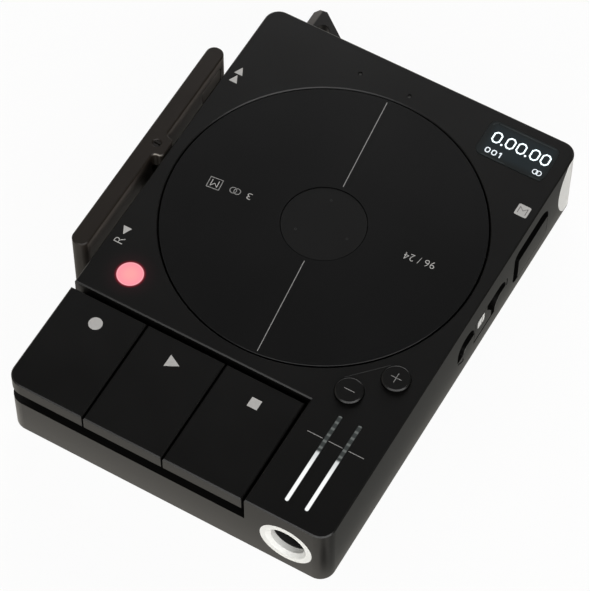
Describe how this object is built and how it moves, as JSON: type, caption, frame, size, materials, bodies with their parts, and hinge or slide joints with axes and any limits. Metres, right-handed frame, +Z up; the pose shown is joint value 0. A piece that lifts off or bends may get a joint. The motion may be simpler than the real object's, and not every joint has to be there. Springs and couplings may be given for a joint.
{
  "type": "field recorder",
  "caption": "Pocket sound recorder with a motorised reel on its deck, flat keys, a side rocker lever, display, level meters, jack sockets and a strap lug.",
  "frame": {"origin": "centre of the flat underside of the case", "axes": "+X to the right with the keys nearest the user, +Y from the keys towards the display, +Z up out of the deck"},
  "size_m": [0.074, 0.1054, 0.017],
  "materials": {
    "case": "fine blasted, anodised near-black",
    "white_plastic": "smooth satin white",
    "dark_steel": "blackened",
    "aluminium_bare": "machined",
    "steel": "bright",
    "brass": "turned",
    "magnet": "nickel plated",
    "board": "solder resist",
    "black_plastic": "moulded",
    "red_lens": "lit lens",
    "meter_lens": "diffusing",
    "display_glass": "smoked, polished",
    "battery_wrap": "wrapped"
  },
  "bodies": {
    "case": {"housing": "case", "bottom_cover": "case", "corner_window": "white_plastic", "cover_screws": "dark_steel", "bearing_sleeve": "brass", "upper_bearing": "steel", "lower_bearing": "steel", "stator": "steel", "key_rod": "steel", "key_board": "board", "key_switches": "black_plastic", "rocker_spring": "steel", "volume_switches": "black_plastic", "record_lamp": "red_lens", "lamp_board": "board", "left_meter_light_bar": "meter_lens", "right_meter_light_bar": "meter_lens", "meter_board": "board", "display_window": "display_glass", "display_module": "black_plastic", "microphones": "steel", "memo_switch": "black_plastic", "side_switch_body": "black_plastic", "headphone_ring": "white_plastic", "headphone_socket": "black_plastic", "line_socket_1": "black_plastic", "line_socket_2": "black_plastic", "line_socket_3": "black_plastic", "usb_socket": "steel", "strap_lug": "case", "main_board": "board", "socket_board": "board", "battery": "battery_wrap", "speaker": "black_plastic"},
    "reel": {"reel_disc": "case", "hub_cap": "case", "reel_hub": "aluminium_bare", "motor_shaft": "steel", "rotor_cup": "steel", "rotor_magnet": "magnet"},
    "record": {"record_key": "case", "record_key_spring": "steel"},
    "play": {"play_key": "case", "play_key_spring": "steel"},
    "stop": {"stop_key": "case", "stop_key_spring": "steel"},
    "rocker": {"rocker_lever": "case", "rocker_pin": "dark_steel"},
    "minus": {"minus_button": "case"},
    "plus": {"plus_button": "case"},
    "memo": {"memo_button": "case"},
    "side_tab": {"side_switch": "case"}
  },
  "joints": [
    {"name": "reel_spin", "type": "hinge", "parent": "case", "child": "reel", "pos_m": [0, 0.0095, 0.0134], "axis": [0, 0, 1], "continuous": true},
    {"name": "record_press", "type": "hinge", "parent": "case", "child": "record", "pos_m": [0, -0.02743, 0.0117], "axis": [1, 0, 0], "range_deg": [0, 4.5], "stiffness_Nm_per_rad": 0.08},
    {"name": "play_press", "type": "hinge", "parent": "case", "child": "play", "pos_m": [0, -0.02743, 0.0117], "axis": [1, 0, 0], "range_deg": [0, 4.5], "stiffness_Nm_per_rad": 0.08},
    {"name": "stop_press", "type": "hinge", "parent": "case", "child": "stop", "pos_m": [0, -0.02743, 0.0117], "axis": [1, 0, 0], "range_deg": [0, 4.5], "stiffness_Nm_per_rad": 0.08},
    {"name": "rocker_rock", "type": "hinge", "parent": "case", "child": "rocker", "pos_m": [-0.037, 0.00965, 0.009], "axis": [0, 0, 1], "range_deg": [-3.5, 3.5], "stiffness_Nm_per_rad": 0.3},
    {"name": "minus_press", "type": "slide", "parent": "case", "child": "minus", "axis": [0, 0, -1], "range_m": [0, 0.0004], "stiffness_N_per_m": 600},
    {"name": "plus_press", "type": "slide", "parent": "case", "child": "plus", "axis": [0, 0, -1], "range_m": [0, 0.0004], "stiffness_N_per_m": 600},
    {"name": "memo_press", "type": "slide", "parent": "case", "child": "memo", "axis": [-1, 0, 0], "range_m": [0, 0.0006], "stiffness_N_per_m": 600},
    {"name": "side_tab_slide", "type": "slide", "parent": "case", "child": "side_tab", "axis": [0, 1, 0], "range_m": [0, 0.0013]}
  ]
}
